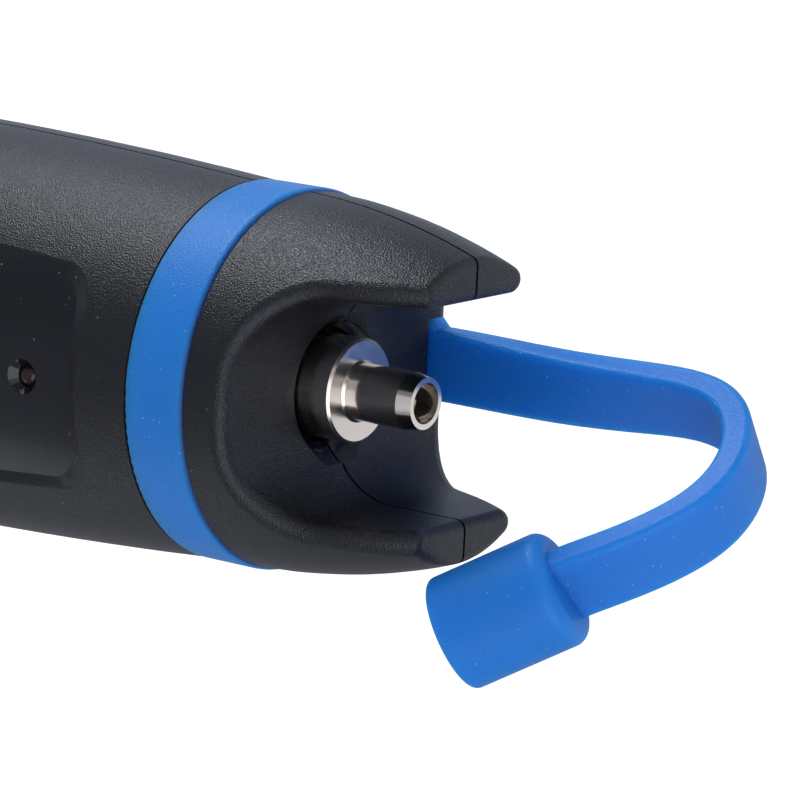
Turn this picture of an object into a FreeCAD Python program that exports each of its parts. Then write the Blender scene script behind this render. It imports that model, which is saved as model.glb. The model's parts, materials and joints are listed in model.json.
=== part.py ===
import FreeCAD, Part
import math
import os

# Hand-held visual fault locator for optical fibre, standing on its tail.
# Millimetres. +Z runs up the body to the port, the panel faces -Y,
# the two prongs of the nose stand at -X and +X, and the strap is rooted at +Y.

Vec = FreeCAD.Vector
UP = Vec(0, 0, 1)
HALF_ROOT = math.sqrt(0.5)

# Body
BODY_LENGTH = 150.0
GRIP_R = 17.0
TAIL_ROUND = 4.5
TAPER_LENGTH = 40.0
REAR_NECK_R = 15.45
FRONT_NECK_R = 15.25
NOSE_R = 12.05
NOSE_BULGE = 0.65
WALL = 2.4
TAIL_WALL = 2.6
TAIL_CHAMFER = 2.6
SEAM_GAP = 0.26
SEAM_START = 0.6
SEAM_DEPTH = 0.8
RIB = 2.0
# Overlap of pieces that are fused, and overrun of cutting tools past a face
JOIN = 0.3
OVER = 1.0

# Scooped fork of the nose
SLOT_HALF = 8.7
SLOT_DEPTH = 13.25
SLOT_CORNER = 6.0
SLOT_FLOOR = 2.4
SCOOP_R = 245.0
RIM_ROUND = 1.1
TIP_ROUND = 0.8
PORT_HOLE_R = 5.35
PORT_SINK = 0.75

# Tether: ring, strap and dust cap
RING_WIDTH = 5.7
RING_SETBACK = 16.45
RING_R = 15.5
RING_THICK = 2.0
RING_CLEAR = 0.15
RING_SIDE_CLEAR = 0.05
RING_FRONT_ROUND = 0.7
RING_REAR_ROUND = 0.2
TAB_HALF = 3.75
TAB_MARGIN = 0.6
TAB_RISE = 3.3
TAB_CLEAR = 0.3
NOTCH_GAP = 0.5
NOTCH_ROUND = 1.0
STRAP_WIDTH = 6.0
STRAP_THICK = 2.4
STRAP_EDGE = 0.55
STRAP_STATIONS = 18
STRAP_TWIST = 31.4
TWIST_START = 8.7
TWIST_LENGTH = 22.5
CAP_R = 4.65
CAP_LENGTH = 10.0
CAP_END = 2.4
CAP_SHOULDER = 1.2
CAP_MOUTH_ROUND = 0.5
CAP_LAP = 0.3
CAP_CLEAR = 0.03
# Middle of the strap from the ring to the cap, measured from the tip of the port tube
STRAP_ROUTE = (
    (0.05, 14.45, -17.2),
    (0.05, 14.45, -5.0),
    (0.1, 14.55, 3.7),
    (-0.15, 14.75, 10.5),
    (0.3, 12.9, 20.4),
    (2.7, 9.2, 23.7),
    (5.8, 5.0, 23.6),
    (11.7, -1.65, 14.9),
)
CAP_DIRECTION = Vec(0.485, -0.34, -0.80)

# Port
PORT_RECESS = 4.3
TUBE_R = 2.33
TUBE_LENGTH = 6.43
TUBE_TIP_R = 2.09
TUBE_ROOT = 0.2
TUBE_TAPER = 1.3
FLANGE_R = 4.225
FLANGE_THICK = 5.15
FLANGE_CHAMFER = 0.2
SPIGOT_R = 3.5
SPIGOT_LENGTH = 6.5
BEAM_R = 1.45
SLEEVE_R = 1.6
SLEEVE_BORE_R = 1.25
SLEEVE_LENGTH = 11.4
SLEEVE_SLIT = 0.5
SLEEVE_INSET = 2.4
FIT = 0.05

# Laser module behind the port
BARREL_R = 5.0
BARREL_LENGTH = 22.0
BARREL_GROOVE_DEPTH = 0.5
BARREL_RIB_SETBACK = 12.0
BARREL_CLEAR = 0.15
LENS_R = 3.2
LENS_EDGE = 1.2
LENS_BULGE = 0.7
LENS_RING_BORE_R = 2.2
LENS_RING_LENGTH = 1.5
LENS_SHELF_R = 2.2
LENS_SHELF = 1.0
DIODE_FLANGE_R = 2.8
DIODE_FLANGE = 1.2
DIODE_CAN_R = 1.78
DIODE_CAN = 2.3
DIODE_PIN_R = 0.225
DIODE_PIN_CIRCLE = 1.0
DIODE_PIN = 6.0
DIODE_RING_LENGTH = 2.0
DIODE_RING_BORE_R = 1.7

# Panel recess on the near side
PANEL_SETBACK = 4.85
PANEL_LENGTH = 48.0
PANEL_HALF = 9.25
PANEL_BOW = 0.9
PANEL_CORNER = 3.4
PANEL_DEPTH = 1.2
PANEL_FLOOR_R = 24.0
PANEL_FLOOR_CORNER = 2.6
PANEL_SIDE_RUN = 1.0
PANEL_END_RUN = 1.6
PANEL_STEPS = 6
# How far the sloping walls of its cutter run on past the skin and under the floor, as a share
PANEL_OVERRUN = 0.4

# Status light
LIGHT_SETBACK = 6.3
LIGHT_X = 0.35
LIGHT_R = 0.85
LIGHT_SINK_R = 1.45
LIGHT_SINK = 0.6
LIGHT_COLLAR_R = 1.5
LIGHT_COLLAR = 0.8
LIGHT_BOSS_R = 2.4
LIGHT_INSET = 0.25
LIGHT_GAP = 0.25
LED_SIZE = (2.0, 0.8, 1.25)

# Circuit board and what it carries
BOARD_HALF = 11.0
BOARD_TOP_GAP = 2.0
BOARD_BOTTOM_GAP = 3.87
BOARD_FACE = 7.0
BOARD_THICK = 1.2
POST_R = 2.6
POST_X = 8.2
POST_INSET = 5.0
PILOT_R = 1.0
BOARD_SCREW_R = 0.95
BOARD_SCREW_HEAD_R = 1.9
BOARD_SCREW_HEAD = 1.3
BOARD_SCREW_LENGTH = 5.0
# Chip and inductor sit below the board's top edge by a share of its length
CHIP_SIZE = (4.0, 1.6, 5.0)
CHIP_SHARE = 0.46
CHIP_X = 6.0
INDUCTOR_SIZE = (6.0, 3.0, 6.0)
INDUCTOR_SHARE = 0.75

# Button and its switch
BUTTON_DROP = 27.0
BUTTON_R = 5.6
BUTTON_CLEAR = 0.25
BUTTON_PROUD = 0.9
BUTTON_DOME = 0.45
BUTTON_FLANGE_R = 6.6
BUTTON_FLANGE = 1.0
BUTTON_SEAT = 13.1
BUTTON_TRAVEL = 0.5
SWITCH_HALF = 3.0
SWITCH_HEIGHT = 3.6
PLUNGER_R = 1.7
PLUNGER_DEPTH = 1.2

# Cells, their contacts and the door
CELL_R = 7.1
CELL_X = 7.2
CELL_LENGTH = 49.5
CELL_NUB_R = 2.75
CELL_NUB = 1.0
CELL_EDGE = 0.6
CELL_Z = 7.0
CELL_CLEAR = 0.25
CONTACT_THICK = 0.4
CONTACT_WIDTH = 6.0
CONTACT_ROOM = 2.5
LEAF_RUN = 8.0
CRADLE_FRONT = 3.0
CRADLE_LEVELS = (0.25, 0.75)
LIP_R = 12.8
DOOR_HALF = 14.45
DOOR_CLEAR = 0.25
DOOR_Z = 6.0
DOOR_LAP = 1.0
DISH_R = 12.0
DISH_DEPTH = 1.0
DISH_DROP = 8.0

# Screws that close the clamshell
SHELL_SCREW_X = 9.4
SHELL_SCREW_RISE = 5.0
SHELL_BOSS_R = 3.2
SHELL_SCREW_R = 1.2
SHELL_SCREW_HEAD_R = 2.2
SHELL_SCREW_HEAD = 1.6
SHELL_SCREW_SEAT = 4.0
SHELL_SCREW_LENGTH = 10.0

# Levels and radii that follow from the sizes above
TIP_Z = BODY_LENGTH - PORT_RECESS
RING_TOP = BODY_LENGTH - RING_SETBACK
RING_BOTTOM = RING_TOP - RING_WIDTH
TAPER_Z = RING_BOTTOM - TAPER_LENGTH
SLOT_Z = BODY_LENGTH - SLOT_DEPTH
INNER_R = GRIP_R - WALL
GROOVE_R = RING_R - RING_THICK - RING_CLEAR
NECK_BORE_R = GROOVE_R - WALL
NECK_BORE_Z = RING_BOTTOM - WALL
CAVITY_TOP = SLOT_Z - SLOT_FLOOR
FLANGE_Z = TIP_Z - TUBE_LENGTH
BARREL_TOP = FLANGE_Z - FLANGE_THICK
BARREL_Z = BARREL_TOP - BARREL_LENGTH
BARREL_RIB_Z = BARREL_TOP - BARREL_RIB_SETBACK
PANEL_TOP = RING_BOTTOM - PANEL_SETBACK
PANEL_Z = PANEL_TOP - PANEL_LENGTH
LIGHT_Z = PANEL_TOP - LIGHT_SETBACK
BUTTON_Z = PANEL_TOP - BUTTON_DROP
BOARD_TOP = BARREL_RIB_Z - BOARD_TOP_GAP
SWITCH_FACE = BOARD_FACE + SWITCH_HEIGHT
CELL_TOP = CELL_Z + CELL_LENGTH + CELL_NUB
PARTITION_Z = CELL_TOP + CONTACT_ROOM
SHELL_SCREW_Z = PARTITION_Z + RIB + SHELL_SCREW_RISE
BOARD_Z = SHELL_SCREW_Z + SHELL_BOSS_R + BOARD_BOTTOM_GAP
BOARD_LENGTH = BOARD_TOP - BOARD_Z
DOOR_TOP = PARTITION_Z + DOOR_LAP
STRAP_Y = STRAP_ROUTE[0][1]
NOTCH_Y = STRAP_Y - STRAP_THICK / 2 - NOTCH_GAP
FAR = 2 * GRIP_R


def at(radius, z):
    return Vec(radius, 0, z)


def line(p, q):
    return Part.makeLine(at(*p), at(*q))


def arc(p, middle, q):
    return Part.Arc(at(*p), at(*middle), at(*q)).toShape()


def bulged(p, q, bulge):
    """Arc from p up to q that stands out from its chord by bulge, away from the axis."""
    run = q[0] - p[0]
    rise = q[1] - p[1]
    chord = math.hypot(run, rise)
    middle = ((p[0] + q[0]) / 2 + bulge * rise / chord, (p[1] + q[1]) / 2 - bulge * run / chord)
    return arc(p, middle, q)


def taper_sag(p, q):
    """Bulge of the arc from p to q that leaves p straight up."""
    drop = p[0] - q[0]
    rise = q[1] - p[1]
    radius = (rise * rise + drop * drop) / (2 * drop)
    return radius - math.sqrt(radius * radius - (rise * rise + drop * drop) / 4)


def turned(edges):
    return Part.Face(Part.Wire(edges)).revolve(Vec(0, 0, 0), UP, 360)


def turned_polygon(points):
    closed = [at(*p) for p in points + points[:1]]
    return Part.Face(Part.makePolygon(closed)).revolve(Vec(0, 0, 0), UP, 360)


def disc(radius, z0, z1, x=0.0, y=0.0):
    return Part.makeCylinder(radius, z1 - z0, Vec(x, y, z0))


def stud(radius, x, z, y0, y1):
    """Round bar along Y."""
    return Part.makeCylinder(radius, y1 - y0, Vec(x, y0, z), Vec(0, 1, 0))


def block(x0, x1, y0, y1, z0, z1):
    return Part.makeBox(x1 - x0, y1 - y0, z1 - z0, Vec(x0, y0, z0))


def middle_of(edge):
    return edge.valueAt((edge.FirstParameter + edge.LastParameter) / 2)


def body_radius(z):
    """Outside radius of the grip and its taper at height z."""
    if z <= TAPER_Z:
        return GRIP_R
    drop = GRIP_R - REAR_NECK_R
    radius = (TAPER_LENGTH ** 2 + drop ** 2) / (2 * drop)
    return GRIP_R - radius + math.sqrt(radius ** 2 - (z - TAPER_Z) ** 2)


def outer_form(inset=0.0):
    """Whole outside of the two halves: grip, taper, nose arc and rounded tail, or the same drawn in."""
    grip = GRIP_R - inset
    top = BODY_LENGTH - inset
    foot = (GRIP_R - TAIL_ROUND, inset)
    side = (grip, TAIL_ROUND)
    turn = (TAIL_ROUND - inset) * HALF_ROOT
    corner = (GRIP_R - TAIL_ROUND + turn, TAIL_ROUND - turn)
    shoulder = (grip, TAPER_Z)
    rear_neck = (REAR_NECK_R - inset, RING_BOTTOM)
    front_neck = (FRONT_NECK_R - inset, RING_TOP)
    tip = (NOSE_R - inset, top)
    return turned([
        line((0, inset), foot),
        arc(foot, corner, side),
        line(side, shoulder),
        bulged(shoulder, rear_neck, taper_sag(shoulder, rear_neck)),
        line(rear_neck, front_neck),
        bulged(front_neck, tip, NOSE_BULGE),
        line(tip, (0, top)),
        line((0, top), (0, inset)),
    ])


def slot_tool(inset=0.0):
    """U-shaped scoop that runs right through the nose along Y, its floor slightly hollow."""
    half = SLOT_HALF + inset
    corner = SLOT_CORNER + inset
    floor = SLOT_Z - inset
    top = BODY_LENGTH + corner
    bend = floor + corner
    inner = half - corner
    turn = corner * HALF_ROOT
    outline = [
        line((-half, top), (-half, bend)),
        arc((-half, bend), (-inner - turn, bend - turn), (-inner, floor)),
        line((-inner, floor), (inner, floor)),
        arc((inner, floor), (inner + turn, bend - turn), (half, bend)),
        line((half, bend), (half, top)),
        line((half, top), (-half, top)),
    ]
    face = Part.Face(Part.Wire(outline))
    pivot = Vec(0, 0, floor + SCOOP_R)
    half_turn = math.degrees(GRIP_R / SCOOP_R)
    face.rotate(pivot, Vec(1, 0, 0), -half_turn)
    return face.revolve(pivot, Vec(1, 0, 0), 2 * half_turn)


def forked_form():
    """Outer form with the scoop cut out, its rim rounded over and the prong tips eased."""
    form = outer_form().cut(slot_tool())
    rim = []
    for edge in form.Edges:
        p = middle_of(edge)
        on_slot = SLOT_Z - JOIN < p.z < BODY_LENGTH - JOIN and abs(p.x) < SLOT_HALF + JOIN / 2
        if on_slot and math.hypot(p.x, p.y) > SLOT_HALF + RIM_ROUND:
            rim.append(edge)
    form = form.makeFillet(RIM_ROUND, rim)
    tips = [edge for edge in form.Edges if edge.BoundBox.ZMin > BODY_LENGTH - JOIN / 10]
    return form.makeFillet(TIP_ROUND, tips)


def notched_form():
    """Forked form with the channel that lets the strap out through the far rim."""
    half = TAB_HALF + TAB_CLEAR
    form = forked_form().cut(block(-half, half, NOTCH_Y, FAR, RING_TOP - JOIN, BODY_LENGTH))
    lip = []
    for edge in form.Edges:
        p = middle_of(edge)
        if abs(p.y - NOTCH_Y) < JOIN / 10 and p.z > SLOT_Z and abs(p.x) < half - JOIN / 10:
            lip.append(edge)
    return form.makeFillet(NOTCH_ROUND, lip)


def cavity():
    return turned_polygon([
        (0, TAIL_WALL),
        (INNER_R - TAIL_CHAMFER, TAIL_WALL),
        (INNER_R, TAIL_WALL + TAIL_CHAMFER),
        (INNER_R, TAPER_Z),
        (REAR_NECK_R - WALL, NECK_BORE_Z),
        (NECK_BORE_R, NECK_BORE_Z),
        (NECK_BORE_R, CAVITY_TOP),
        (0, CAVITY_TOP),
    ])


def cell_bodies(clearance):
    radius = CELL_R + clearance
    return [disc(radius, TAIL_WALL, PARTITION_Z, x) for x in (-CELL_X, CELL_X)]


def inner_ribs():
    """Partition over the cells, lip under the door and the rib that holds the laser barrel."""
    partition = disc(INNER_R + JOIN, PARTITION_Z, PARTITION_Z + RIB)
    lip = disc(INNER_R + JOIN, TAIL_WALL + TAIL_CHAMFER, CELL_Z - CELL_CLEAR)
    lip = lip.cut(disc(LIP_R, 0, CELL_Z))
    rib_bore = BARREL_R - BARREL_GROOVE_DEPTH + BARREL_CLEAR
    rib = disc(REAR_NECK_R - WALL / 2, BARREL_RIB_Z, BARREL_RIB_Z + RIB)
    rib = rib.cut(disc(rib_bore, 0, BODY_LENGTH))
    return [partition, lip, rib]


def ring_groove():
    groove = disc(FAR, RING_BOTTOM - RING_SIDE_CLEAR, RING_TOP + RING_SIDE_CLEAR)
    return groove.cut(disc(GROOVE_R, 0, BODY_LENGTH))


def seam_tool():
    """Open joint between the halves, as deep as the land on which they meet lies under the skin."""
    joint = block(-FAR, FAR, -SEAM_GAP / 2, SEAM_GAP / 2, SEAM_START, BODY_LENGTH + OVER)
    port = disc(PORT_HOLE_R + SEAM_DEPTH, CAVITY_TOP, BODY_LENGTH)
    return joint.cut(outer_form(SEAM_DEPTH).cut([slot_tool(SEAM_DEPTH), port]))


def shell_blank():
    form = notched_form().cut(cavity())
    neck_r = PORT_HOLE_R - PORT_SINK
    sink = Part.makeCone(neck_r, PORT_HOLE_R + OVER, PORT_SINK + OVER, Vec(0, 0, SLOT_Z - PORT_SINK))
    form = form.cut([disc(neck_r, CAVITY_TOP - RIB, BODY_LENGTH), sink])
    return form.cut(ring_groove()).fuse(inner_ribs()).cut(seam_tool())


def panel_outline(side_run, end_run, corner):
    """Outline seen along Y, drawn in from the rim: eight runs of X and Z, ends, corners and bowed sides."""
    half = PANEL_HALF - side_run
    low = PANEL_Z + end_run + corner
    high = PANEL_TOP - end_run - corner
    shares = [2 * k / PANEL_STEPS - 1 for k in range(PANEL_STEPS + 1)]
    end = [((half - corner) * share, high + corner) for share in shares]
    turns = [math.radians(45 - 45 * share) for share in shares]
    bend = [(half - corner + corner * math.cos(t), high + corner * math.sin(t)) for t in turns]
    middle = (low + high) / 2
    reach = (high - low) / 2
    side = [(half + PANEL_BOW * (1 - share * share), middle - reach * share) for share in shares]
    right = [end, bend, side, [(x, 2 * middle - z) for x, z in reversed(bend)]]
    return right + [[(-x, 2 * middle - z) for x, z in run] for run in right]


def panel_ring(share, level=None):
    """Closed line on the sloping walls, at a share of the way from the skin to the floor."""
    rim = panel_outline(0, 0, PANEL_CORNER)
    foot = panel_outline(PANEL_SIDE_RUN, PANEL_END_RUN, PANEL_FLOOR_CORNER)
    edges = []
    for rim_run, foot_run in zip(rim, foot):
        spots = []
        for (x0, z0), (x1, z1) in zip(rim_run, foot_run):
            upper = Vec(x0, -math.sqrt(body_radius(z0) ** 2 - x0 * x0), z0)
            drop = PANEL_FLOOR_R - math.sqrt(PANEL_FLOOR_R ** 2 - x1 * x1)
            lower = Vec(x1, drop - panel_floor(z1), z1)
            spot = upper + (lower - upper) * share
            if level is not None:
                spot.y = level
            spots.append(spot)
        edge = Part.BSplineCurve()
        edge.interpolate(spots)
        edges.append(edge.toShape())
    return Part.Wire(edges)


def panel_tool():
    """Recess with a gently curved floor and sloping walls all round."""
    out = -PANEL_OVERRUN
    under = 1 + PANEL_OVERRUN
    rings = [panel_ring(out, -FAR), panel_ring(out), panel_ring(under), panel_ring(under, -BOARD_FACE)]
    plug = Part.makeLoft(rings, True, True)
    low = Vec(0, PANEL_FLOOR_R - panel_floor(PANEL_Z), PANEL_Z)
    along = Vec(0, PANEL_FLOOR_R - panel_floor(PANEL_TOP), PANEL_TOP) - low
    return plug.cut(Part.makeCylinder(PANEL_FLOOR_R, 3 * along.Length, low - along, along))


def panel_floor(z):
    """Distance of the panel floor from the body axis on its centre line."""
    share = (z - PANEL_Z) / PANEL_LENGTH
    return body_radius(PANEL_Z) + share * (body_radius(PANEL_TOP) - body_radius(PANEL_Z)) - PANEL_DEPTH


def post_places():
    """Middles of the two board posts."""
    return [(-POST_X, BOARD_TOP - POST_INSET), (POST_X, BOARD_Z + POST_INSET)]


def screw_places():
    return [(-SHELL_SCREW_X, SHELL_SCREW_Z), (SHELL_SCREW_X, SHELL_SCREW_Z)]


def front_shell(blank, form):
    """Near half, with the panel, the board posts and half of the fork."""
    half = blank.common(block(-FAR, FAR, -FAR, 0, -OVER, BODY_LENGTH + OVER))
    inner = [stud(POST_R, x, z, -FAR, -BOARD_FACE) for x, z in post_places()]
    inner += [stud(SHELL_BOSS_R, x, z, -FAR, 0) for x, z in screw_places()]
    inner.append(stud(LIGHT_BOSS_R, LIGHT_X, LIGHT_Z, -FAR, -light_collar_y() - LIGHT_COLLAR))
    for share in CRADLE_LEVELS:
        z = CELL_Z + share * CELL_LENGTH
        cradle = block(-FAR, FAR, -FAR, -CRADLE_FRONT, z, z + RIB)
        inner.append(cradle.cut(cell_bodies(CELL_CLEAR)))
    half = half.fuse([piece.common(form) for piece in inner])
    floor = panel_floor(LIGHT_Z)
    spread = (LIGHT_SINK_R - LIGHT_R - FIT) / LIGHT_SINK
    mouth = Vec(LIGHT_X, -floor - OVER, LIGHT_Z)
    sink = Part.makeCone(LIGHT_SINK_R + OVER * spread, LIGHT_R + FIT, LIGHT_SINK + OVER, mouth, Vec(0, 1, 0))
    tools = [
        panel_tool(),
        stud(BUTTON_R + BUTTON_CLEAR, 0, BUTTON_Z, -FAR, -BOARD_FACE),
        stud(BUTTON_FLANGE_R + BUTTON_CLEAR, 0, BUTTON_Z, -BUTTON_SEAT, -BOARD_FACE),
        stud(LIGHT_R + FIT, LIGHT_X, LIGHT_Z, -FAR, -BOARD_FACE),
        sink,
    ]
    tools += [stud(PILOT_R, x, z, -BOARD_FACE - BOARD_SCREW_LENGTH, -BOARD_FACE) for x, z in post_places()]
    pilot = SHELL_SCREW_SEAT - SHELL_SCREW_LENGTH
    tools += [stud(SHELL_SCREW_R + FIT, x, z, pilot - FIT, 0) for x, z in screw_places()]
    return half.cut(tools)


def door_span(clearance):
    """Straight-sided block over the cells that cuts the window, or, smaller by a clearance, the door."""
    half = DOOR_HALF - clearance
    return block(-half, half, SEAM_GAP, FAR, DOOR_Z + clearance, DOOR_TOP - clearance)


def rear_shell(blank, form):
    """Far half, with the window for the cells and the screw wells."""
    half = blank.common(block(-FAR, FAR, 0, FAR, -OVER, BODY_LENGTH + OVER))
    bosses = [stud(SHELL_BOSS_R, x, z, 0, FAR).common(form) for x, z in screw_places()]
    half = half.fuse(bosses)
    tools = [door_span(0).cut(disc(INNER_R - DOOR_CLEAR, 0, BODY_LENGTH))]
    tools += [stud(SHELL_SCREW_R + FIT, x, z, 0, FAR) for x, z in screw_places()]
    tools += [stud(SHELL_SCREW_HEAD_R + FIT, x, z, SHELL_SCREW_SEAT, FAR) for x, z in screw_places()]
    return half.cut(tools)


def battery_door():
    """Curved cover that completes the grip over the cells, with a dish for a fingertip."""
    skin = disc(GRIP_R, DOOR_Z, DOOR_TOP).cut(disc(INNER_R, 0, BODY_LENGTH))
    door = skin.common(door_span(DOOR_CLEAR))
    dish = Part.makeSphere(DISH_R, Vec(0, GRIP_R + DISH_R - DISH_DEPTH, DOOR_TOP - DISH_DROP))
    return door.cut(dish)


def strap_spine():
    points = [Vec(x, y, TIP_Z + z) for x, y, z in STRAP_ROUTE]
    spine = Part.BSplineCurve()
    spine.interpolate(Points=points, InitialTangent=UP, FinalTangent=CAP_DIRECTION)
    return spine


def strap_section(middle, along, twist):
    """Rectangle with rounded corners, square to the strap."""
    across = Vec(math.cos(twist), math.sin(twist), 0)
    across = (across - along * across.dot(along)).normalize()
    through = along.cross(across)
    u = STRAP_WIDTH / 2
    v = STRAP_THICK / 2
    e = STRAP_EDGE
    turn = e * (1 - HALF_ROOT)

    def spot(x, y):
        return middle + across * x + through * y

    edges = []
    for sx, sy in ((1, 1), (-1, 1), (-1, -1), (1, -1)):
        first = spot(sx * u, sy * (v - e))
        second = spot(sx * (u - e), sy * v)
        if sx != sy:
            first, second = second, first
        edges.append(Part.Arc(first, spot(sx * (u - turn), sy * (v - turn)), second).toShape())
    loop = []
    for corner, following in zip(edges, edges[1:] + edges[:1]):
        start = corner.valueAt(corner.LastParameter)
        end = following.valueAt(following.FirstParameter)
        loop.append(corner)
        loop.append(Part.makeLine(start, end))
    return Part.Wire(loop)


def strap():
    """Flat strap that twists over its straight run and turns back to the cap."""
    spine = strap_spine()
    total = spine.length()
    sections = []
    for index in range(STRAP_STATIONS):
        run = total * index / (STRAP_STATIONS - 1)
        where = spine.parameterAtDistance(run, spine.FirstParameter)
        along = Vec(*spine.tangent(where)[0]).normalize()
        share = min(1.0, max(0.0, (run - TWIST_START) / TWIST_LENGTH))
        sections.append(strap_section(spine.value(where), along, math.radians(STRAP_TWIST) * share))
    return Part.makeLoft(sections, True, False)


def strap_tab():
    """Root of the strap: a tab that rises from the ring and narrows to the strap."""
    low = RING_BOTTOM + TAB_MARGIN
    top = RING_TOP + TAB_RISE
    u = STRAP_WIDTH / 2
    bend = top - (TAB_HALF - u)
    outline = [(-TAB_HALF, low), (TAB_HALF, low), (TAB_HALF, bend), (u, top), (-u, top), (-TAB_HALF, bend)]
    closed = [at(*p) for p in outline + outline[:1]]
    tab = Part.Face(Part.makePolygon(closed)).extrude(Vec(0, STRAP_THICK, 0))
    tab.translate(Vec(0, STRAP_Y - STRAP_THICK / 2, 0))
    sides = []
    for edge in tab.Edges:
        p = middle_of(edge)
        if abs(p.x) > u - JOIN and edge.BoundBox.YLength < JOIN and p.z < top - JOIN / 10:
            sides.append(edge)
    return tab.makeFillet(STRAP_EDGE, sides)


def dust_cap():
    cap = Part.makeCylinder(CAP_R, CAP_LENGTH)
    shoulder = [edge for edge in cap.Edges if edge.BoundBox.ZMax < JOIN]
    cap = cap.makeFillet(CAP_SHOULDER, shoulder)
    mouth = [edge for edge in cap.Edges if edge.BoundBox.ZMin > CAP_LENGTH - JOIN / 10]
    cap = cap.makeFillet(CAP_MOUTH_ROUND, mouth)
    cap = cap.cut(disc(TUBE_R + CAP_CLEAR, CAP_END, CAP_LENGTH + OVER))
    end = Vec(*STRAP_ROUTE[-1]) + Vec(0, 0, TIP_Z)
    along = Vec(CAP_DIRECTION).normalize()
    cap.Placement = FreeCAD.Placement(end - along * CAP_LAP, FreeCAD.Rotation(UP, along))
    return cap


def tether():
    """Ring, strap and dust cap, moulded in one."""
    ring = disc(RING_R, RING_BOTTOM, RING_TOP)
    front = [e for e in ring.Edges if e.BoundBox.ZMin > RING_TOP - JOIN]
    ring = ring.makeFillet(RING_FRONT_ROUND, front)
    rear = [e for e in ring.Edges if e.BoundBox.ZMax < RING_BOTTOM + JOIN]
    ring = ring.makeFillet(RING_REAR_ROUND, rear)
    ring = ring.fuse([strap_tab(), strap()])
    ring = ring.cut(disc(RING_R - RING_THICK, 0, RING_TOP))
    return ring.fuse(dust_cap())


def port_sleeve():
    """Polished tube with its flange and the spigot behind it, bored for the guide sleeve."""
    pocket = TIP_Z - SLEEVE_INSET - SLEEVE_LENGTH
    bottom = BARREL_TOP - SPIGOT_LENGTH
    return turned_polygon([
        (BEAM_R, bottom),
        (SPIGOT_R, bottom),
        (SPIGOT_R, BARREL_TOP),
        (FLANGE_R, BARREL_TOP),
        (FLANGE_R, FLANGE_Z - FLANGE_CHAMFER),
        (FLANGE_R - FLANGE_CHAMFER, FLANGE_Z),
        (TUBE_R + TUBE_ROOT, FLANGE_Z),
        (TUBE_R, FLANGE_Z + TUBE_ROOT),
        (TUBE_R, TIP_Z - TUBE_TAPER),
        (TUBE_TIP_R, TIP_Z),
        (SLEEVE_R + FIT, TIP_Z),
        (SLEEVE_R + FIT, pocket),
        (BEAM_R, pocket),
    ])


def split_sleeve():
    """Spring sleeve that guides the ferrule, slit along its far side."""
    top = TIP_Z - SLEEVE_INSET
    sleeve = disc(SLEEVE_R, top - SLEEVE_LENGTH, top).cut(disc(SLEEVE_BORE_R, 0, BODY_LENGTH))
    return sleeve.cut(block(-SLEEVE_SLIT / 2, SLEEVE_SLIT / 2, 0, FAR, 0, BODY_LENGTH))


def lens_level():
    """Underside of the spigot pocket, where the lens ring starts."""
    return BARREL_TOP - SPIGOT_LENGTH - FIT


def diode_level():
    return lens_level() - LENS_RING_LENGTH - LENS_EDGE - LENS_BULGE - LENS_SHELF


def laser_barrel():
    """Turned barrel: pocket for the spigot, seat for the lens, shelf, pocket for the diode."""
    shelf_top = lens_level() - LENS_RING_LENGTH - LENS_EDGE - LENS_BULGE
    shelf = diode_level()
    groove_r = BARREL_R - BARREL_GROOVE_DEPTH
    groove_z = BARREL_RIB_Z - BARREL_CLEAR
    groove_top = BARREL_RIB_Z + RIB + BARREL_CLEAR
    return turned_polygon([
        (DIODE_FLANGE_R + FIT, BARREL_Z),
        (BARREL_R, BARREL_Z),
        (BARREL_R, groove_z),
        (groove_r, groove_z),
        (groove_r, groove_top),
        (BARREL_R, groove_top),
        (BARREL_R, BARREL_TOP),
        (SPIGOT_R + FIT, BARREL_TOP),
        (SPIGOT_R + FIT, lens_level()),
        (LENS_R + FIT, lens_level()),
        (LENS_R + FIT, shelf_top),
        (LENS_SHELF_R, shelf_top),
        (LENS_SHELF_R, shelf),
        (DIODE_FLANGE_R + FIT, shelf),
    ])


def lens_ring():
    top = lens_level()
    return disc(LENS_R, top - LENS_RING_LENGTH, top).cut(disc(LENS_RING_BORE_R, 0, BODY_LENGTH))


def focusing_lens():
    """Plano-convex lens, bulging down through the shelf's mouth."""
    top = lens_level() - LENS_RING_LENGTH
    rim = top - LENS_EDGE
    crown = (0, rim - LENS_BULGE)
    return turned([
        line((0, top), (LENS_R, top)),
        line((LENS_R, top), (LENS_R, rim)),
        bulged_crown((LENS_R, rim), crown),
        line(crown, (0, top)),
    ])


def bulged_crown(rim, crown):
    """Arc from the rim to the crown of a lens, level at the crown."""
    sag = abs(rim[1] - crown[1])
    radius = (rim[0] ** 2 + sag ** 2) / (2 * sag)
    side = rim[0] / 2
    depth = radius - math.sqrt(radius ** 2 - side ** 2)
    return arc(rim, (side, crown[1] + math.copysign(depth, rim[1] - crown[1])), crown)


def laser_diode():
    """Metal can on a round flange, with three pins."""
    top = diode_level()
    body = disc(DIODE_FLANGE_R, top - DIODE_CAN - DIODE_FLANGE, top - DIODE_CAN)
    body = body.fuse(disc(DIODE_CAN_R, top - DIODE_CAN, top))
    pins = []
    base = top - DIODE_CAN - DIODE_FLANGE
    for index in range(3):
        turn = 2 * math.pi * index / 3
        x = DIODE_PIN_CIRCLE * math.cos(turn)
        y = DIODE_PIN_CIRCLE * math.sin(turn)
        pins.append(disc(DIODE_PIN_R, base - DIODE_PIN, base, x, y))
    return body.fuse(pins)


def diode_ring():
    top = diode_level() - DIODE_CAN - DIODE_FLANGE
    ring = disc(DIODE_FLANGE_R, top - DIODE_RING_LENGTH, top)
    return ring.cut(disc(DIODE_RING_BORE_R, 0, BODY_LENGTH))


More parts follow.
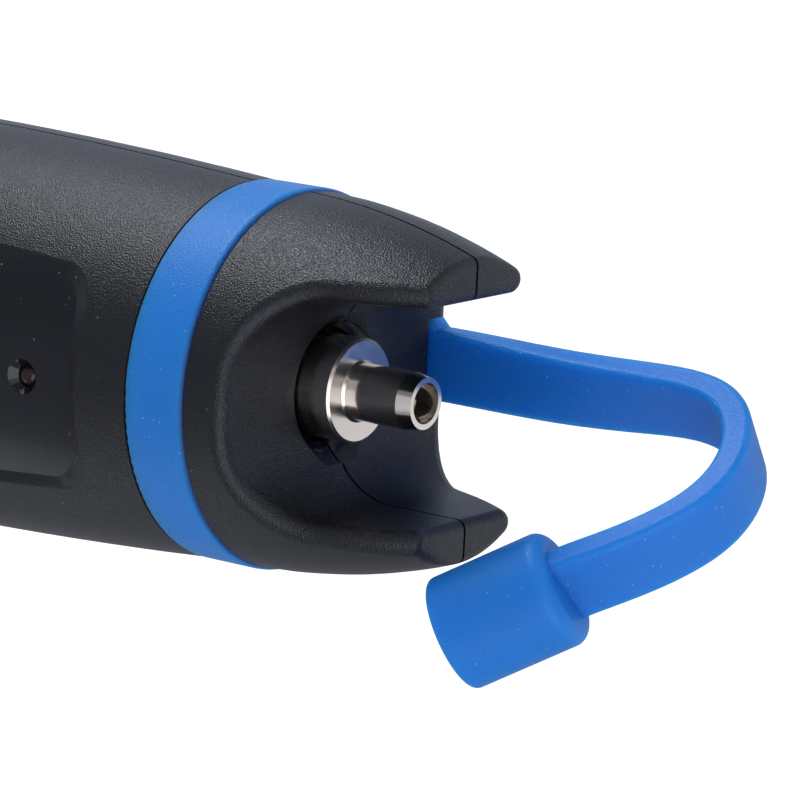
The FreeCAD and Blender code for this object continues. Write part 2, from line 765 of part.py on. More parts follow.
def circuit_board():
    board = block(-BOARD_HALF, BOARD_HALF, -BOARD_FACE, -BOARD_FACE + BOARD_THICK, BOARD_Z, BOARD_TOP)
    return board.cut([stud(BOARD_SCREW_R + FIT, x, z, -FAR, 0) for x, z in post_places()])


def on_board(size, x, z, front):
    """Block soldered to the front or the back of the board, centred at x and z."""
    y0 = -BOARD_FACE - size[1] if front else -BOARD_FACE + BOARD_THICK
    return block(x - size[0] / 2, x + size[0] / 2, y0, y0 + size[1], z - size[2] / 2, z + size[2] / 2)


def light_collar_y():
    """Distance from the axis of the light pipe's inner end, just over its lamp."""
    return BOARD_FACE + LED_SIZE[1] + LIGHT_GAP


def light_pipe():
    """Red rod from the lamp on the board to the countersink on the panel, with a domed end."""
    inner = -light_collar_y()
    face = -panel_floor(LIGHT_Z) + LIGHT_INSET
    rod = stud(LIGHT_R, LIGHT_X, LIGHT_Z, face + LIGHT_R / 2, inner)
    collar = stud(LIGHT_COLLAR_R, LIGHT_X, LIGHT_Z, inner - LIGHT_COLLAR, inner)
    dome_r = (LIGHT_R ** 2 + (LIGHT_R / 2) ** 2) / LIGHT_R
    dome = Part.makeSphere(dome_r, Vec(LIGHT_X, face + dome_r, LIGHT_Z))
    dome = dome.common(stud(LIGHT_R, LIGHT_X, LIGHT_Z, face, inner))
    return rod.fuse([collar, dome])


def mode_button():
    """Domed cap with the flange that keeps it in its hole."""
    face = panel_floor(BUTTON_Z) + BUTTON_PROUD
    cap = stud(BUTTON_R, 0, BUTTON_Z, -face, -BUTTON_SEAT)
    dome_r = (BUTTON_R ** 2 + BUTTON_DOME ** 2) / (2 * BUTTON_DOME)
    cap = cap.common(Part.makeSphere(dome_r, Vec(0, -face + dome_r, BUTTON_Z)))
    seat = -BUTTON_SEAT + BUTTON_CLEAR
    neck = stud(BUTTON_R, 0, BUTTON_Z, -BUTTON_SEAT, seat)
    flange = stud(BUTTON_FLANGE_R, 0, BUTTON_Z, seat, seat + BUTTON_FLANGE)
    return cap.fuse([neck, flange])


def tact_switch():
    """Switch housing on the board, with the well its plunger slides in."""
    housing = on_board((2 * SWITCH_HALF, SWITCH_HEIGHT, 2 * SWITCH_HALF), 0, BUTTON_Z, True)
    well = SWITCH_FACE - PLUNGER_DEPTH - BUTTON_TRAVEL - BUTTON_CLEAR
    return housing.cut(stud(PLUNGER_R + BUTTON_CLEAR, 0, BUTTON_Z, -FAR, -well))


def switch_plunger():
    button_back = BUTTON_SEAT - BUTTON_CLEAR - BUTTON_FLANGE
    return stud(PLUNGER_R, 0, BUTTON_Z, -button_back, -SWITCH_FACE + PLUNGER_DEPTH)


def cell(x, upright):
    """Round cell with its positive nub up or down."""
    can = disc(CELL_R, 0, CELL_LENGTH)
    can = can.makeFillet(CELL_EDGE, [e for e in can.Edges if e.BoundBox.ZLength < JOIN])
    can = can.fuse(disc(CELL_NUB_R, CELL_LENGTH, CELL_LENGTH + CELL_NUB))
    if not upright:
        can.rotate(Vec(0, 0, (CELL_LENGTH + CELL_NUB) / 2), Vec(1, 0, 0), 180)
    can.translate(Vec(x, 0, CELL_Z))
    return can


def strip(points):
    """Flat metal strip that follows an outline in the XZ plane."""
    closed = [at(*p) for p in points + points[:1]]
    shape = Part.Face(Part.makePolygon(closed)).extrude(Vec(0, CONTACT_WIDTH, 0))
    shape.translate(Vec(0, -CONTACT_WIDTH / 2, 0))
    return shape


def leaf(x, z_plate, z_cell):
    """Spring leaf folded from a plate to a cell's flat end."""
    up = math.copysign(CONTACT_THICK, z_cell - z_plate)
    return strip([
        (x - LEAF_RUN / 2, z_plate),
        (x - LEAF_RUN / 2, z_plate + up),
        (x + LEAF_RUN / 4, z_cell),
        (x + LEAF_RUN / 2, z_cell - up),
        (x + LEAF_RUN / 2, z_cell - 2 * up),
        (x + LEAF_RUN / 4, z_cell - up),
        (x - LEAF_RUN / 2 + CONTACT_THICK, z_plate),
    ])


def dimple(x, z_plate, z_cell):
    """Pressed bump that meets a cell's nub."""
    return disc(CELL_NUB_R, min(z_plate, z_cell), max(z_plate, z_cell), x)


def plate(x0, x1, z0, z1):
    return block(x0, x1, -CONTACT_WIDTH / 2, CONTACT_WIDTH / 2, z0, z1)


def bridge_contact():
    """Plate on the tail's floor that joins the two cells: a leaf under one, a bump under the other."""
    top = TAIL_WALL + CONTACT_THICK
    half = LEAF_RUN / 2
    base = plate(-CELL_X - half, CELL_X + half, TAIL_WALL, top)
    return base.fuse([leaf(-CELL_X, TAIL_WALL, CELL_Z), dimple(CELL_X, TAIL_WALL, CELL_Z)])


def positive_contact():
    half = LEAF_RUN / 2
    base = plate(-CELL_X - half, -CELL_X + half, PARTITION_Z - CONTACT_THICK, PARTITION_Z)
    return base.fuse(dimple(-CELL_X, PARTITION_Z, CELL_TOP))


def negative_leaf():
    half = LEAF_RUN / 2
    base = plate(CELL_X - half, CELL_X + half, PARTITION_Z - CONTACT_THICK, PARTITION_Z)
    return base.fuse(leaf(CELL_X, PARTITION_Z, CELL_TOP))


def shell_screws():
    screws = []
    for x, z in screw_places():
        head = stud(SHELL_SCREW_HEAD_R, x, z, SHELL_SCREW_SEAT, SHELL_SCREW_SEAT + SHELL_SCREW_HEAD)
        shank = stud(SHELL_SCREW_R, x, z, SHELL_SCREW_SEAT - SHELL_SCREW_LENGTH, SHELL_SCREW_SEAT)
        screws.append(head.fuse(shank))
    return Part.makeCompound(screws)


def board_screws():
    screws = []
    back = -BOARD_FACE + BOARD_THICK
    for x, z in post_places():
        head = stud(BOARD_SCREW_HEAD_R, x, z, back, back + BOARD_SCREW_HEAD)
        shank = stud(BOARD_SCREW_R, x, z, back - BOARD_SCREW_LENGTH, back)
        screws.append(head.fuse(shank))
    return Part.makeCompound(screws)


def all_parts():
    form = outer_form()
    blank = shell_blank()
    return {
        "front_shell": front_shell(blank, form),
        "rear_shell": rear_shell(blank, form),
        "battery_door": battery_door(),
        "tether": tether(),
        "port_sleeve": port_sleeve(),
        "split_sleeve": split_sleeve(),
        "laser_barrel": laser_barrel(),
        "lens_ring": lens_ring(),
        "focusing_lens": focusing_lens(),
        "laser_diode": laser_diode(),
        "diode_ring": diode_ring(),
        "circuit_board": circuit_board(),
        "status_led": on_board(LED_SIZE, LIGHT_X, LIGHT_Z, True),
        "light_pipe": light_pipe(),
        "tact_switch": tact_switch(),
        "switch_plunger": switch_plunger(),
        "mode_button": mode_button(),
        "driver_chip": on_board(CHIP_SIZE, CHIP_X, BOARD_TOP - CHIP_SHARE * BOARD_LENGTH, True),
        "boost_inductor": on_board(INDUCTOR_SIZE, 0, BOARD_TOP - INDUCTOR_SHARE * BOARD_LENGTH, False),
        "battery_1": cell(-CELL_X, True),
        "battery_2": cell(CELL_X, False),
        "bridge_contact": bridge_contact(),
        "positive_contact": positive_contact(),
        "negative_leaf": negative_leaf(),
        "shell_screws": shell_screws(),
        "board_screws": board_screws(),
    }


os.makedirs("parts", exist_ok=True)
for name, shape in all_parts().items():
    shape.exportStep("parts/" + name + ".step")
    solids = [round(solid.Volume, 2) for solid in shape.Solids]
    print(name, "valid" if shape.isValid() else "NOT VALID", solids)
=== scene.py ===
import json
import bpy
from mathutils import Matrix, Vector

# Hand-held visual fault locator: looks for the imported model. Metres, same frame as the model.
MM = 0.001

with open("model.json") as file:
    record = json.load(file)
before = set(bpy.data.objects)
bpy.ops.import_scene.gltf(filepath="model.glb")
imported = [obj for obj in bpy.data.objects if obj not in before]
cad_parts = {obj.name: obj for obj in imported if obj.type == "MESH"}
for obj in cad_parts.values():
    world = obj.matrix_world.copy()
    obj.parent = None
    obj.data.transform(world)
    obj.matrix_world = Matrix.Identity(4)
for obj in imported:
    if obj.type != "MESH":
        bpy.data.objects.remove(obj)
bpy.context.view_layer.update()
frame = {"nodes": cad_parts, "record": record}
nodes = frame["nodes"]

# Camera of the photograph: a long lens, rolled so that -X is up in the picture
FRAME_PIXELS = 800
FOCAL_PIXELS = 4464.3
SENSOR_WIDTH = 36.0
CAMERA_DISTANCE = 350 * MM
CAMERA_RIGHT = Vector((-0.0446, 0.5927, 0.8038)).normalized()
CAMERA_BACK = Vector((-0.1997, -0.7940, 0.5740)).normalized()
CAMERA_UP = CAMERA_BACK.cross(CAMERA_RIGHT)
PORT_TIP = Vector((0, 0, 145.7 * MM))
CAMERA_SLIDE = CAMERA_RIGHT * (-1.98 * MM) + CAMERA_UP * (0.22 * MM)

# Outside of the grip and the curve of its taper
GRIP_R = 17.0 * MM
TAPER_Z = 87.85 * MM
TAPER_CURVE_R = 516.9 * MM

# Places on the shells that are smoother than the grain, each taken a little beyond its edge
PANEL_TOP = 123.3 * MM
PANEL_EDGE_DEPTH = 0.04 * MM
PANEL_FULL_DEPTH = 0.20 * MM
PORT_HOLE_R = 5.38 * MM
LIGHT = Vector((0.35, 0, 116.7)) * MM
LIGHT_SINK_R = 1.55 * MM

# Ring of the tether: the joint behind it, and its front edge that rolls down to the nose; shade is
# painted on both
RING_R = 15.5 * MM
RING_JOINT_Z = 127.85 * MM
RING_JOINT_HALF = 0.10 * MM
RING_FRONT_Z = 133.55 * MM
RING_ROLL = 0.8 * MM
ROLL_STARTS_R = RING_R - 0.05 * MM
NOSE_NECK_R = 15.25 * MM
CREASE_SHADE = 0.8

# Front face of the port's flange, and the run over which the buffing of its tube sets in
FLANGE_Z = 139.3 * MM
BUFF_RUN = 0.2 * MM


def linear(code):
    """Linear RGBA of an sRGB hex colour."""
    levels = [int(code[i:i + 2], 16) / 255 for i in (1, 3, 5)]
    return [v / 12.92 if v <= 0.04045 else ((v + 0.055) / 1.055) ** 2.4 for v in levels] + [1.0]


def add(tree, kind, inputs=None, **settings):
    """Add a shader node; inputs gives each socket a value or the socket that feeds it."""
    made = tree.nodes.new("ShaderNode" + kind)
    for name, value in settings.items():
        setattr(made, name, value)
    for name, value in (inputs or {}).items():
        if isinstance(value, bpy.types.NodeSocket):
            tree.links.new(value, made.inputs[name])
        else:
            made.inputs[name].default_value = value
    return made


def start_material(name):
    material = bpy.data.materials.new(name)
    material.use_nodes = True
    material.node_tree.nodes.clear()
    return material, material.node_tree


def close_material(tree, shader):
    add(tree, "OutputMaterial", {"Surface": shader.outputs[0]})


def axis_radius(tree, split):
    """Distance from the body's axis."""
    flat = add(tree, "CombineXYZ", {"X": split.outputs["X"], "Y": split.outputs["Y"]})
    return add(tree, "VectorMath", {0: flat.outputs[0]}, operation="LENGTH").outputs["Value"]


def depth_below_skin(tree, radius, height):
    """Depth of a point below the outside of the grip and its taper, in metres."""
    above = add(tree, "Math", {0: height, 1: TAPER_Z}, operation="SUBTRACT")
    above = add(tree, "Math", {0: above.outputs[0], 1: 0.0}, operation="MAXIMUM")
    square = add(tree, "Math", {0: above.outputs[0], 1: 2.0}, operation="POWER")
    fall = add(tree, "Math", {0: square.outputs[0], 1: 2 * TAPER_CURVE_R}, operation="DIVIDE")
    outside = add(tree, "Math", {0: GRIP_R, 1: fall.outputs[0]}, operation="SUBTRACT")
    return add(tree, "Math", {0: outside.outputs[0], 1: radius}, operation="SUBTRACT").outputs[0]


def sunk_panel(tree, split, radius):
    """1 on the panel, which lies below the front shell's outside, and 0 elsewhere."""
    height = split.outputs["Z"]
    depth = depth_below_skin(tree, radius, height)
    sunk = add(tree, "MapRange", {
        "Value": depth, "From Min": PANEL_EDGE_DEPTH, "From Max": PANEL_FULL_DEPTH})
    in_front = add(tree, "Math", {0: split.outputs["Y"], 1: 0.0}, operation="LESS_THAN")
    below_top = add(tree, "Math", {0: height, 1: PANEL_TOP}, operation="LESS_THAN")
    panel = add(tree, "Math", {0: sunk.outputs[0], 1: in_front.outputs[0]}, operation="MULTIPLY")
    panel = add(tree, "Math", {0: panel.outputs[0], 1: below_top.outputs[0]}, operation="MULTIPLY")
    return panel.outputs[0]


def glossy_holes(tree, place, split, radius):
    """1 in the port hole and in the light's countersink, and 0 elsewhere."""
    in_port = add(tree, "Math", {0: radius, 1: PORT_HOLE_R}, operation="LESS_THAN")
    aside = add(tree, "VectorMath", {0: place, 1: LIGHT}, operation="SUBTRACT")
    aside = add(tree, "VectorMath", {0: aside.outputs[0], 1: (1.0, 0.0, 1.0)}, operation="MULTIPLY")
    aside = add(tree, "VectorMath", {0: aside.outputs[0]}, operation="LENGTH")
    in_sink = add(tree, "Math", {0: aside.outputs["Value"], 1: LIGHT_SINK_R}, operation="LESS_THAN")
    in_front = add(tree, "Math", {0: split.outputs["Y"], 1: 0.0}, operation="LESS_THAN")
    in_sink = add(tree, "Math", {0: in_sink.outputs[0], 1: in_front.outputs[0]}, operation="MULTIPLY")
    holes = add(tree, "Math", {0: in_port.outputs[0], 1: in_sink.outputs[0]}, operation="MAXIMUM")
    return holes.outputs[0]


def clouded(tree, place, size, detail, dark, light):
    """Soft clouds of that size, from 0 to 1, and a colour that drifts with them from dark to light."""
    cloud = add(tree, "TexNoise", {"Vector": place, "Scale": 1 / size, "Detail": detail}).outputs["Fac"]
    tint = add(tree, "Mix", {"Factor": cloud, "A": linear(dark), "B": linear(light)}, data_type="RGBA")
    return cloud, tint.outputs["Result"]


def dusted(tree, place, colour, spacing, largest_r, cover, tone):
    """The colour with specks of dust on it, of all radii up to the largest."""
    spots = add(tree, "TexVoronoi", {"Vector": place, "Scale": 1 / spacing})
    share = add(tree, "SeparateColor", {"Color": spots.outputs["Color"]})
    reach = add(tree, "Math", {0: share.outputs["Red"], 1: largest_r / spacing}, operation="MULTIPLY")
    speck = add(tree, "Math", {0: spots.outputs["Distance"], 1: reach.outputs[0]}, operation="LESS_THAN")
    speck = add(tree, "Math", {0: speck.outputs[0], 1: cover}, operation="MULTIPLY")
    dusty = add(tree, "Mix", {"Factor": speck.outputs[0], "A": colour, "B": linear(tone)},
                data_type="RGBA")
    return dusty.outputs["Result"]


def painted_joint_shade(tree, split, colour, rough):
    """The colour and roughness with a matt line of painted shade in the joint behind the ring."""
    height = split.outputs["Z"]
    line = add(tree, "Math", {0: height, 1: RING_JOINT_Z, 2: RING_JOINT_HALF}, operation="COMPARE")
    joint_shaded = add(tree, "Mix", {"Factor": line.outputs[0], "A": colour, "B": linear("#020203")},
                data_type="RGBA")
    matt = add(tree, "Mix", {"Factor": line.outputs[0], "A": rough, "B": 1.0})
    return joint_shaded.outputs["Result"], matt.outputs["Result"]


def ring_crease(tree, split, colour):
    """The colour with the deep shade of the crease where the ring's front edge rolls down to the nose."""
    radius = axis_radius(tree, split)
    rolled = add(tree, "MapRange", {
        "Value": radius, "From Min": ROLL_STARTS_R, "From Max": NOSE_NECK_R, "To Max": CREASE_SHADE})
    front = add(tree, "Math", {0: split.outputs["Z"], 1: RING_FRONT_Z, 2: RING_ROLL}, operation="COMPARE")
    crease = add(tree, "Math", {0: rolled.outputs[0], 1: front.outputs[0]}, operation="MULTIPLY")
    shaded = add(tree, "Mix", {"Factor": crease.outputs[0], "A": colour, "B": linear("#0a2960")},
                 data_type="RGBA")
    return shaded.outputs["Result"]


def moulded_abs():
    """ABS moulded in a spark-eroded tool: a pebbled grain that breaks its sheen into sparkles, with
    specks of dust and a matt line of painted shade in the joint behind the ring. The panel is nearly
    smooth, and the port hole and the light's countersink are glossy. The grain is drawn deeper than it
    is, so that it shows."""
    pebble_size = 0.15 * MM
    pit_size = 0.11 * MM
    grain_depth = 0.038 * MM
    grain_left_where_smooth = 0.03
    grained_rough = 0.30
    panel_rough = 0.26
    hole_rough = 0.10
    rough_drift = 0.03
    material, tree = start_material("moulded_black_abs")
    place = add(tree, "TexCoord").outputs["Object"]
    split = add(tree, "SeparateXYZ", {"Vector": place})
    radius = axis_radius(tree, split)
    panel = sunk_panel(tree, split, radius)
    glossy = glossy_holes(tree, place, split, radius)

    smooth = add(tree, "Math", {0: panel, 1: glossy}, operation="MAXIMUM")
    pebbles = add(tree, "TexVoronoi", {"Vector": place, "Scale": 1 / pebble_size})
    pits = add(tree, "TexNoise", {"Vector": place, "Scale": 1 / pit_size, "Detail": 2.0})
    grain = add(tree, "Math", {0: pits.outputs["Fac"], 1: pebbles.outputs["Distance"]}, operation="ADD")
    strength = add(tree, "MapRange", {
        "Value": smooth.outputs[0], "To Min": 1.0, "To Max": grain_left_where_smooth})
    bump = add(tree, "Bump", {
        "Strength": strength.outputs[0], "Distance": grain_depth, "Height": grain.outputs[0]})

    cloud, colour = clouded(tree, place, size=9 * MM, detail=3.0, dark="#0b0c10", light="#0f1014")
    colour = dusted(tree, place, colour, spacing=0.9 * MM, largest_r=0.08 * MM, cover=0.5, tone="#8f9297")
    rough = add(tree, "Mix", {"Factor": panel, "A": grained_rough, "B": panel_rough}).outputs["Result"]
    # Painted shade: a dark matt line in the joint behind the ring
    colour, rough = painted_joint_shade(tree, split, colour, rough)
    rough = add(tree, "Mix", {"Factor": glossy, "A": rough, "B": hole_rough})
    drift = add(tree, "MapRange", {"Value": cloud, "To Min": -rough_drift, "To Max": rough_drift})
    rough = add(tree, "Math", {0: rough.outputs["Result"], 1: drift.outputs[0]}, operation="ADD")
    shader = add(tree, "BsdfPrincipled", {
        "Base Color": colour, "Roughness": rough.outputs[0], "IOR": 1.53,
        "Specular Tint": linear("#e3e9f6"), "Normal": bump.outputs[0]})
    close_material(tree, shader)
    return material


def moulded_silicone():
    """Silicone rubber, compression moulded: deep blue that light enters some way, so thin edges and the
    strap glow, with the satin sparkle of a blasted mould, specks of dust, and painted shade in the joint
    behind the ring and in the crease in front of it. The blasted pits are drawn wider than they are, so
    that they show."""
    pit_size = 0.15 * MM
    pit_depth = 0.055 * MM
    light_reach = 5.0 * MM
    material, tree = start_material("moulded_blue_silicone")
    place = add(tree, "TexCoord").outputs["Object"]
    split = add(tree, "SeparateXYZ", {"Vector": place})
    pits = add(tree, "TexNoise", {"Vector": place, "Scale": 1 / pit_size, "Detail": 2.0})
    bump = add(tree, "Bump", {"Distance": pit_depth, "Height": pits.outputs["Fac"]})

    cloud, colour = clouded(tree, place, size=12 * MM, detail=3.0, dark="#1973ca", light="#1e7ad4")
    colour = dusted(tree, place, colour, spacing=0.8 * MM, largest_r=0.08 * MM, cover=0.6, tone="#9db8e6")
    # Painted shade: dark blue in the crease where the ring's front edge rolls down to the nose
    colour = ring_crease(tree, split, colour)
    rough = add(tree, "MapRange", {"Value": cloud, "To Min": 0.30, "To Max": 0.40})
    # Painted shade: a dark matt line in the joint behind the ring
    colour, rough = painted_joint_shade(tree, split, colour, rough.outputs[0])
    shader = add(tree, "BsdfPrincipled", {
        "Base Color": colour, "Roughness": rough, "IOR": 1.42, "Specular IOR Level": 0.36,
        "Subsurface Weight": 0.75, "Subsurface Radius": (0.06, 0.75, 1.0),
        "Subsurface Scale": light_reach, "Normal": bump.outputs[0]})
    close_material(tree, shader)
    return material


def turned_metal(name, dark, light, rough, line_width, line_depth, buffed=1.0):
    """Turned metal: lathe lines run round its axis, across both the faces and the sides. Real ones are
    too fine to show, so they are drawn line_width apart. In front of the port's flange the metal is
    buffed, which multiplies its roughness by buffed."""
    material, tree = start_material(name)
    place = add(tree, "TexCoord").outputs["Object"]
    split = add(tree, "SeparateXYZ", {"Vector": place})
    along = add(tree, "Math", {0: axis_radius(tree, split), 1: split.outputs["Z"]}, operation="ADD")
    lines = add(tree, "TexNoise", {"W": along.outputs[0], "Scale": 1 / line_width, "Detail": 2.0},
                noise_dimensions="1D")
    bump = add(tree, "Bump", {"Strength": 0.4, "Distance": line_depth, "Height": lines.outputs["Fac"]})
    cloud, colour = clouded(tree, place, size=1.5 * MM, detail=4.0, dark=dark, light=light)
    sheen = add(tree, "MapRange", {"Value": cloud, "To Min": rough * 0.8, "To Max": rough * 1.2})
    polish = add(tree, "MapRange", {
        "Value": split.outputs["Z"], "From Min": FLANGE_Z, "From Max": FLANGE_Z + BUFF_RUN,
        "To Min": 1.0, "To Max": buffed})
    sheen = add(tree, "Math", {0: sheen.outputs[0], 1: polish.outputs[0]}, operation="MULTIPLY")
    shader = add(tree, "BsdfPrincipled", {
        "Base Color": colour, "Metallic": 1.0, "Roughness": sheen.outputs[0], "Normal": bump.outputs[0]})
    close_material(tree, shader)
    return material


def plain_finish(name, dark, light, rough, grain, grain_depth, metallic=0.0):
    """Small moulded, sintered or plated piece: even colour with a faint grain, which is drawn as coarse
    as it needs to be to show."""
    material, tree = start_material(name)
    place = add(tree, "TexCoord").outputs["Object"]
    skin = add(tree, "TexNoise", {"Vector": place, "Scale": 1 / grain, "Detail": 2.0}).outputs["Fac"]
    bump = add(tree, "Bump", {"Strength": 0.5, "Distance": grain_depth, "Height": skin})
    colour = clouded(tree, place, size=3 * MM, detail=3.0, dark=dark, light=light)[1]
    sheen = add(tree, "MapRange", {"Value": skin, "To Min": rough * 0.9, "To Max": rough * 1.1})
    shader = add(tree, "BsdfPrincipled", {
        "Base Color": colour, "Metallic": metallic, "Roughness": sheen.outputs[0],
        "Normal": bump.outputs[0]})
    close_material(tree, shader)
    return material


def optical_glass():
    """Polished glass: clear, with a faint coating tint."""
    material, tree = start_material("coated_optical_glass")
    place = add(tree, "TexCoord").outputs["Object"]
    colour = clouded(tree, place, size=2 * MM, detail=2.0, dark="#eef2f6", light="#f4f1fa")[1]
    shader = add(tree, "BsdfPrincipled", {
        "Base Color": colour, "Roughness": 0.02, "IOR": 1.52, "Transmission Weight": 1.0})
    close_material(tree, shader)
    return material


# Finish of each material slot. A row gives its name, darker and lighter colour, roughness, and the width
# and depth of its lathe lines or grain.
silicone = moulded_silicone()
looks = {
    "black_abs": moulded_abs(),
    "blue_silicone": silicone,
    "blue_button": silicone,
    "optical_glass": optical_glass(),
    # Nickel plate: a warm white mirror, with faint rings on the flange
    "polished_nickel": turned_metal(
        "polished_nickel", "#c8c2be", "#d8d2ce", 0.26, 0.08 * MM, 0.0012 * MM, buffed=0.5),
    # Bronze drawn to a thin tube: pale and dull
    "phosphor_bronze": turned_metal(
        "drawn_phosphor_bronze", "#d6d0c4", "#e2dcd0", 0.45, 0.10 * MM, 0.002 * MM),
    # Black anodising: near black, with a low metal sheen
    "black_anodised": turned_metal(
        "black_anodised_aluminium", "#141517", "#1b1c1f", 0.35, 0.12 * MM, 0.003 * MM),
    # Thin gold plate on a pressed can: bright yellow
    "gilt_metal": turned_metal(
        "gold_plated_can", "#b98f3a", "#cda64e", 0.2, 0.15 * MM, 0.002 * MM),
    # Solder mask: deep green lacquer that flows in low waves
    "green_board": plain_finish(
        "green_solder_mask", "#17492d", "#1f5d3a", 0.35, 0.5 * MM, 0.01 * MM),
    # Moulded lamp body: off-white and satin
    "white_lamp": plain_finish(
        "white_lamp_body", "#dedbd0", "#e9e6dc", 0.4, 0.2 * MM, 0.004 * MM),
    # Moulded acrylic, tinted so dark that it looks nearly black: smooth and glossy
    "red_acrylic": plain_finish(
        "dark_red_acrylic", "#1d090b", "#2b0e11", 0.12, 0.6 * MM, 0.002 * MM),
    # Moulded nylon: black and softly matt
    "black_nylon": plain_finish(
        "moulded_black_nylon", "#141517", "#1a1b1d", 0.5, 0.2 * MM, 0.006 * MM),
    # Moulded epoxy of a chip: black, with a fine dull grain
    "black_epoxy": plain_finish(
        "moulded_black_epoxy", "#161618", "#1c1c1e", 0.6, 0.1 * MM, 0.006 * MM),
    # Sintered ferrite: dark grey and stony
    "ferrite": plain_finish(
        "sintered_ferrite", "#262628", "#303032", 0.7, 0.1 * MM, 0.01 * MM),
    # Plastic sleeve shrunk on to a cell: slate blue, shiny and slightly uneven
    "cell_wrap": plain_finish(
        "shrunk_cell_sleeve", "#28566d", "#336680", 0.3, 1.5 * MM, 0.01 * MM),
    # Rolled strip, nickel plated: warm grey and bright
    "nickel_strip": plain_finish(
        "nickel_plated_strip", "#bbb8b0", "#cdcac2", 0.3, 0.3 * MM, 0.003 * MM, metallic=1.0),
    # Zinc plate on steel: cool grey and a little duller
    "zinc_steel": plain_finish(
        "zinc_plated_steel", "#b4b8bc", "#c6cace", 0.35, 0.3 * MM, 0.003 * MM, metallic=1.0),
}

for part in frame["record"]["subparts"]:
    shape = nodes[part["node"]]
    shape.data.materials.clear()
    shape.data.materials.append(looks[part["material_slot"]])

# Camera
lens = bpy.data.cameras.new("photo_camera")
lens.sensor_width = SENSOR_WIDTH
lens.lens = SENSOR_WIDTH * FOCAL_PIXELS / FRAME_PIXELS
camera = bpy.data.objects.new("photo_camera", lens)
bpy.context.scene.collection.objects.link(camera)
turn = Matrix((CAMERA_RIGHT, CAMERA_UP, CAMERA_BACK)).transposed()
eye = PORT_TIP + CAMERA_BACK * CAMERA_DISTANCE + CAMERA_SLIDE
camera.matrix_world = Matrix.Translation(eye) @ turn.to_4x4()
bpy.context.scene.camera = camera

# Studio: floor and world are white to the camera, in mirrors and through glass, and light the object less
WHITE = linear("#ffffff")
FLOOR_SIZE = 6.0
FLOOR_GLOW = 0.5
WORLD_LIGHT = 0.56
AIM = Vector((0, 0, 0.13))


def looked_at(tree):
    """1 for what the camera, a mirror or glass looks at, 0 for light that falls on the object."""
    path = add(tree, "LightPath")
    seen = add(tree, "Math", {0: path.outputs["Is Camera Ray"], 1: path.outputs["Is Glossy Ray"]},
               operation="MAXIMUM")
    seen = add(tree, "Math", {0: seen.outputs[0], 1: path.outputs["Is Transmission Ray"]},
               operation="MAXIMUM")
    return seen.outputs[0]


def paper_floor():
    """Pale floor that keeps the object's shadow."""
    bpy.ops.object.select_all(action="DESELECT")
    bpy.ops.mesh.primitive_plane_add(size=FLOOR_SIZE, location=(0, 0, 0))
    floor = bpy.context.object
    floor.name = "studio_floor"
    material, tree = start_material("pale_paper_floor")
    paper = add(tree, "BsdfDiffuse", {"Color": linear("#e8e8e8")})
    glow = add(tree, "Math", {0: looked_at(tree), 1: FLOOR_GLOW}, operation="MULTIPLY")
    lift = add(tree, "Emission", {"Color": WHITE, "Strength": glow.outputs[0]})
    close_material(tree, add(tree, "AddShader", {0: paper.outputs[0], 1: lift.outputs[0]}))
    floor.data.materials.append(material)


def white_world():
    world = bpy.data.worlds.new("studio_white")
    bpy.context.scene.world = world
    world.use_nodes = True
    tree = world.node_tree
    tree.nodes.clear()
    level = add(tree, "MapRange", {"Value": looked_at(tree), "To Min": WORLD_LIGHT, "To Max": 1.0})
    sky = add(tree, "Background", {"Color": WHITE, "Strength": level.outputs[0]})
    add(tree, "OutputWorld", {"Surface": sky.outputs[0]})


def softbox(name, place, size, power):
    """Square lamp aimed at the object."""
    light = bpy.data.lights.new(name, "AREA")
    light.shape = "SQUARE"
    light.size = size
    light.energy = power
    lamp = bpy.data.objects.new(name, light)
    bpy.context.scene.collection.objects.link(lamp)
    lamp.location = place
    lamp.rotation_euler = (AIM - Vector(place)).to_track_quat("-Z", "Y").to_euler()
    lamp.visible_camera = False


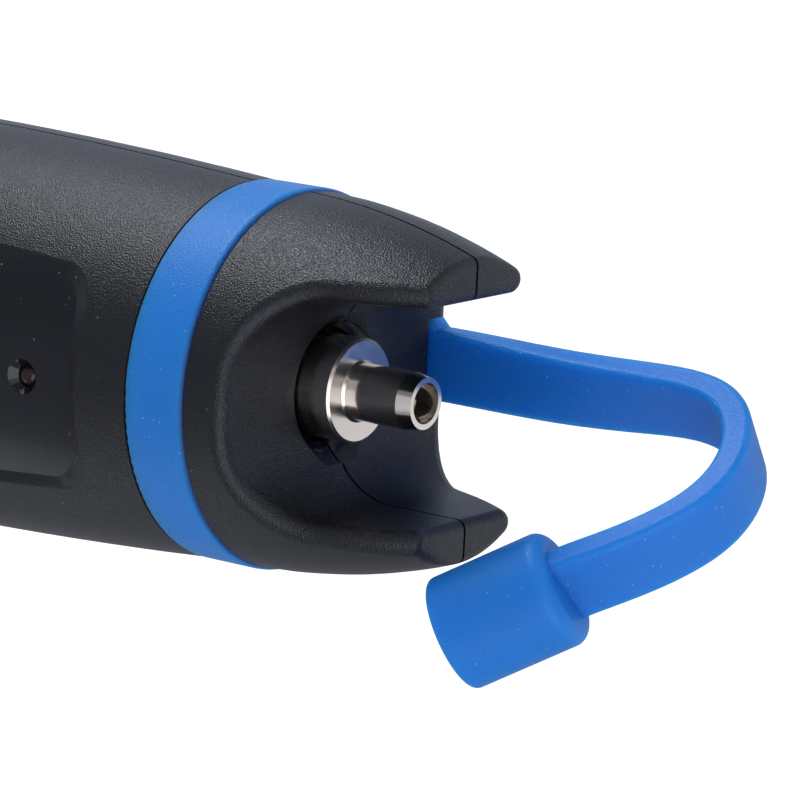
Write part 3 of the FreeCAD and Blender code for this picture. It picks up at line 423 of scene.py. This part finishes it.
def felt_card(name, place, facing, width, depth, shade):
    """Grey studio card that shows only in reflections."""
    bpy.ops.object.select_all(action="DESELECT")
    bpy.ops.mesh.primitive_plane_add(size=1.0)
    card = bpy.context.object
    card.name = name
    turned = Vector(facing).to_track_quat("Z", "Y").to_matrix().to_4x4()
    card.data.transform(Matrix.Translation(place) @ turned @ Matrix.Diagonal((width, depth, 1, 1)))
    material, tree = start_material(name + "_felt")
    close_material(tree, add(tree, "BsdfDiffuse", {"Color": linear(shade)}))
    card.data.materials.append(material)
    card.visible_camera = False
    card.visible_diffuse = False
    card.visible_shadow = False


paper_floor()
white_world()

# Softboxes: name, place, side and power in watts
softbox("key_softbox", (-0.26, -0.015, 0.015), 0.13, 0.63)
softbox("fill_softbox", (0.26, -0.45, 0.83), 1.1, 4.5)

# Cards: name, place, the way it faces, width, depth and shade
UP = (0, 0, 1)
DOWN = (0, 0, -1)
TO_BACK = (0, 1, 0)
TO_FRONT = (0, -1, 0)
TO_LEFT = (-1, 0, 0)
TO_RIGHT = (1, 0, 0)
MID_GREY = "#aeb0b8"
felt_card("front_mat", (-0.41, -0.47, 0.002), UP, 0.80, 0.80, "#92949c")
felt_card("front_pale_mat", (0.44, -0.52, 0.002), UP, 0.90, 0.80, "#a8aab2")
felt_card("near_mat", (-0.005, -0.06, 0.003), UP, 0.19, 0.14, MID_GREY)
felt_card("bright_mat", (0.04, -0.54, 0.006), UP, 0.60, 0.22, "#f0ecf2")
felt_card("side_mat", (0.40, 0.42, 0.003), UP, 1.00, 0.90, "#9ea0a8")
felt_card("back_mat", (-0.47, 0.47, 0.004), UP, 1.06, 0.82, "#c4ccde")
felt_card("left_mat", (-0.70, 0.225, 0.005), UP, 0.60, 1.35, "#94969e")
felt_card("front_card", (0.43, -0.90, 0.45), TO_BACK, 1.06, 0.90, MID_GREY)
felt_card("front_pale_card", (-0.52, -0.90, 0.45), TO_BACK, 0.84, 0.90, "#dcdee6")
felt_card("side_card", (0.90, 0.0, 0.35), TO_LEFT, 1.90, 0.70, MID_GREY)
felt_card("back_card", (0.0, 0.95, 0.30), TO_FRONT, 1.90, 0.60, "#d4dcee")
felt_card("top_card", (0.0, 0.0, 1.30), DOWN, 1.60, 1.60, "#a0a2aa")
felt_card("left_card", (-0.95, 0.0, 0.40), TO_RIGHT, 1.90, 0.80, MID_GREY)

bpy.context.scene.view_settings.view_transform = "Standard"
